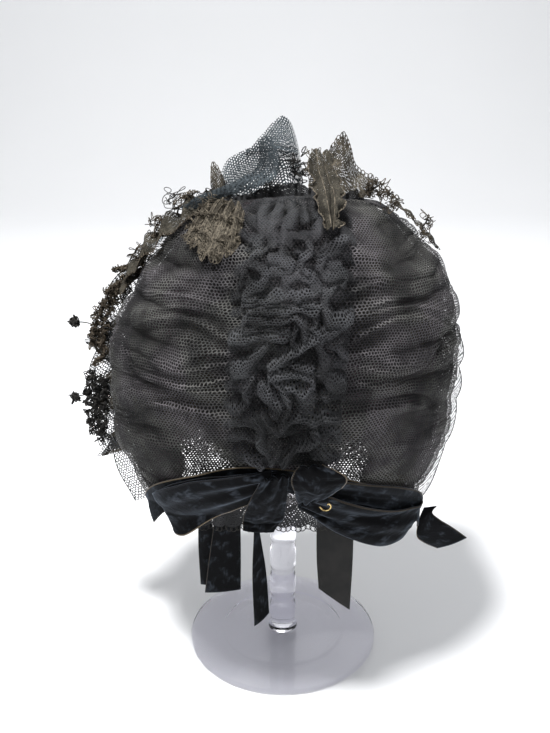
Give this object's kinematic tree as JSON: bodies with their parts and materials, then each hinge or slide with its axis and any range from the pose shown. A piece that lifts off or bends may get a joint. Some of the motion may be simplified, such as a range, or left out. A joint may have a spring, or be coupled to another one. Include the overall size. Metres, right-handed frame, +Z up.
{
  "type": "poke bonnet on a display stand",
  "caption": "Poke bonnet of gathered black net with a ruched back, velvet bow, loose ribbon ends and worn lace trimming, on a clear round display stand.",
  "frame": {"origin": "centre of the stand's foot, on the surface that it stands on", "axes": "+Z up along the stand's stem, +Y out of the bonnet's face opening, -Y out of the ruched back of the crown, +X to the right seen from behind"},
  "size_m": [0.2958, 0.1828, 0.3888],
  "materials": {
    "clear_acrylic": "clear, polished",
    "black_net": "cotton net, matt",
    "grey_net": "blue-grey net, matt",
    "brown_cloth": "thin woven cap, matt",
    "black_velvet": "velvet pile with a tan edge",
    "brown_lace": "faded lace, matt",
    "tan_lace": "faded lace, matt",
    "dark_bud": "rolled cloth, matt",
    "brass": "dull"
  },
  "bodies": {
    "root": {"stand_foot": "clear_acrylic", "stand_stem": "clear_acrylic", "stand_cap": "clear_acrylic", "crown": "black_net", "centre_ruching": "black_net", "brim_frill": "black_net", "brim": "black_net", "neck_curtain": "black_net", "under_crown": "brown_cloth", "neck_band": "black_velvet", "bow_loop_left": "black_velvet", "bow_loop_right": "black_velvet", "bow_knot": "black_velvet", "knot_tail": "black_velvet", "ribbon_end_left": "black_velvet", "ribbon_end_under": "black_velvet", "ribbon_end_thin": "black_velvet", "ribbon_end_right": "black_velvet", "side_tab": "black_velvet", "lace_fan": "tan_lace", "lace_point": "tan_lace", "lace_upright": "tan_lace", "lace_jabot": "tan_lace", "lace_strip_left": "brown_lace", "lace_edge_right": "brown_lace", "lace_cheek": "brown_lace", "net_puff": "grey_net", "net_loop": "grey_net", "net_strip": "grey_net", "bud_upper": "dark_bud", "bud_lower": "dark_bud", "brass_hook": "brass"}
  },
  "joints": []
}
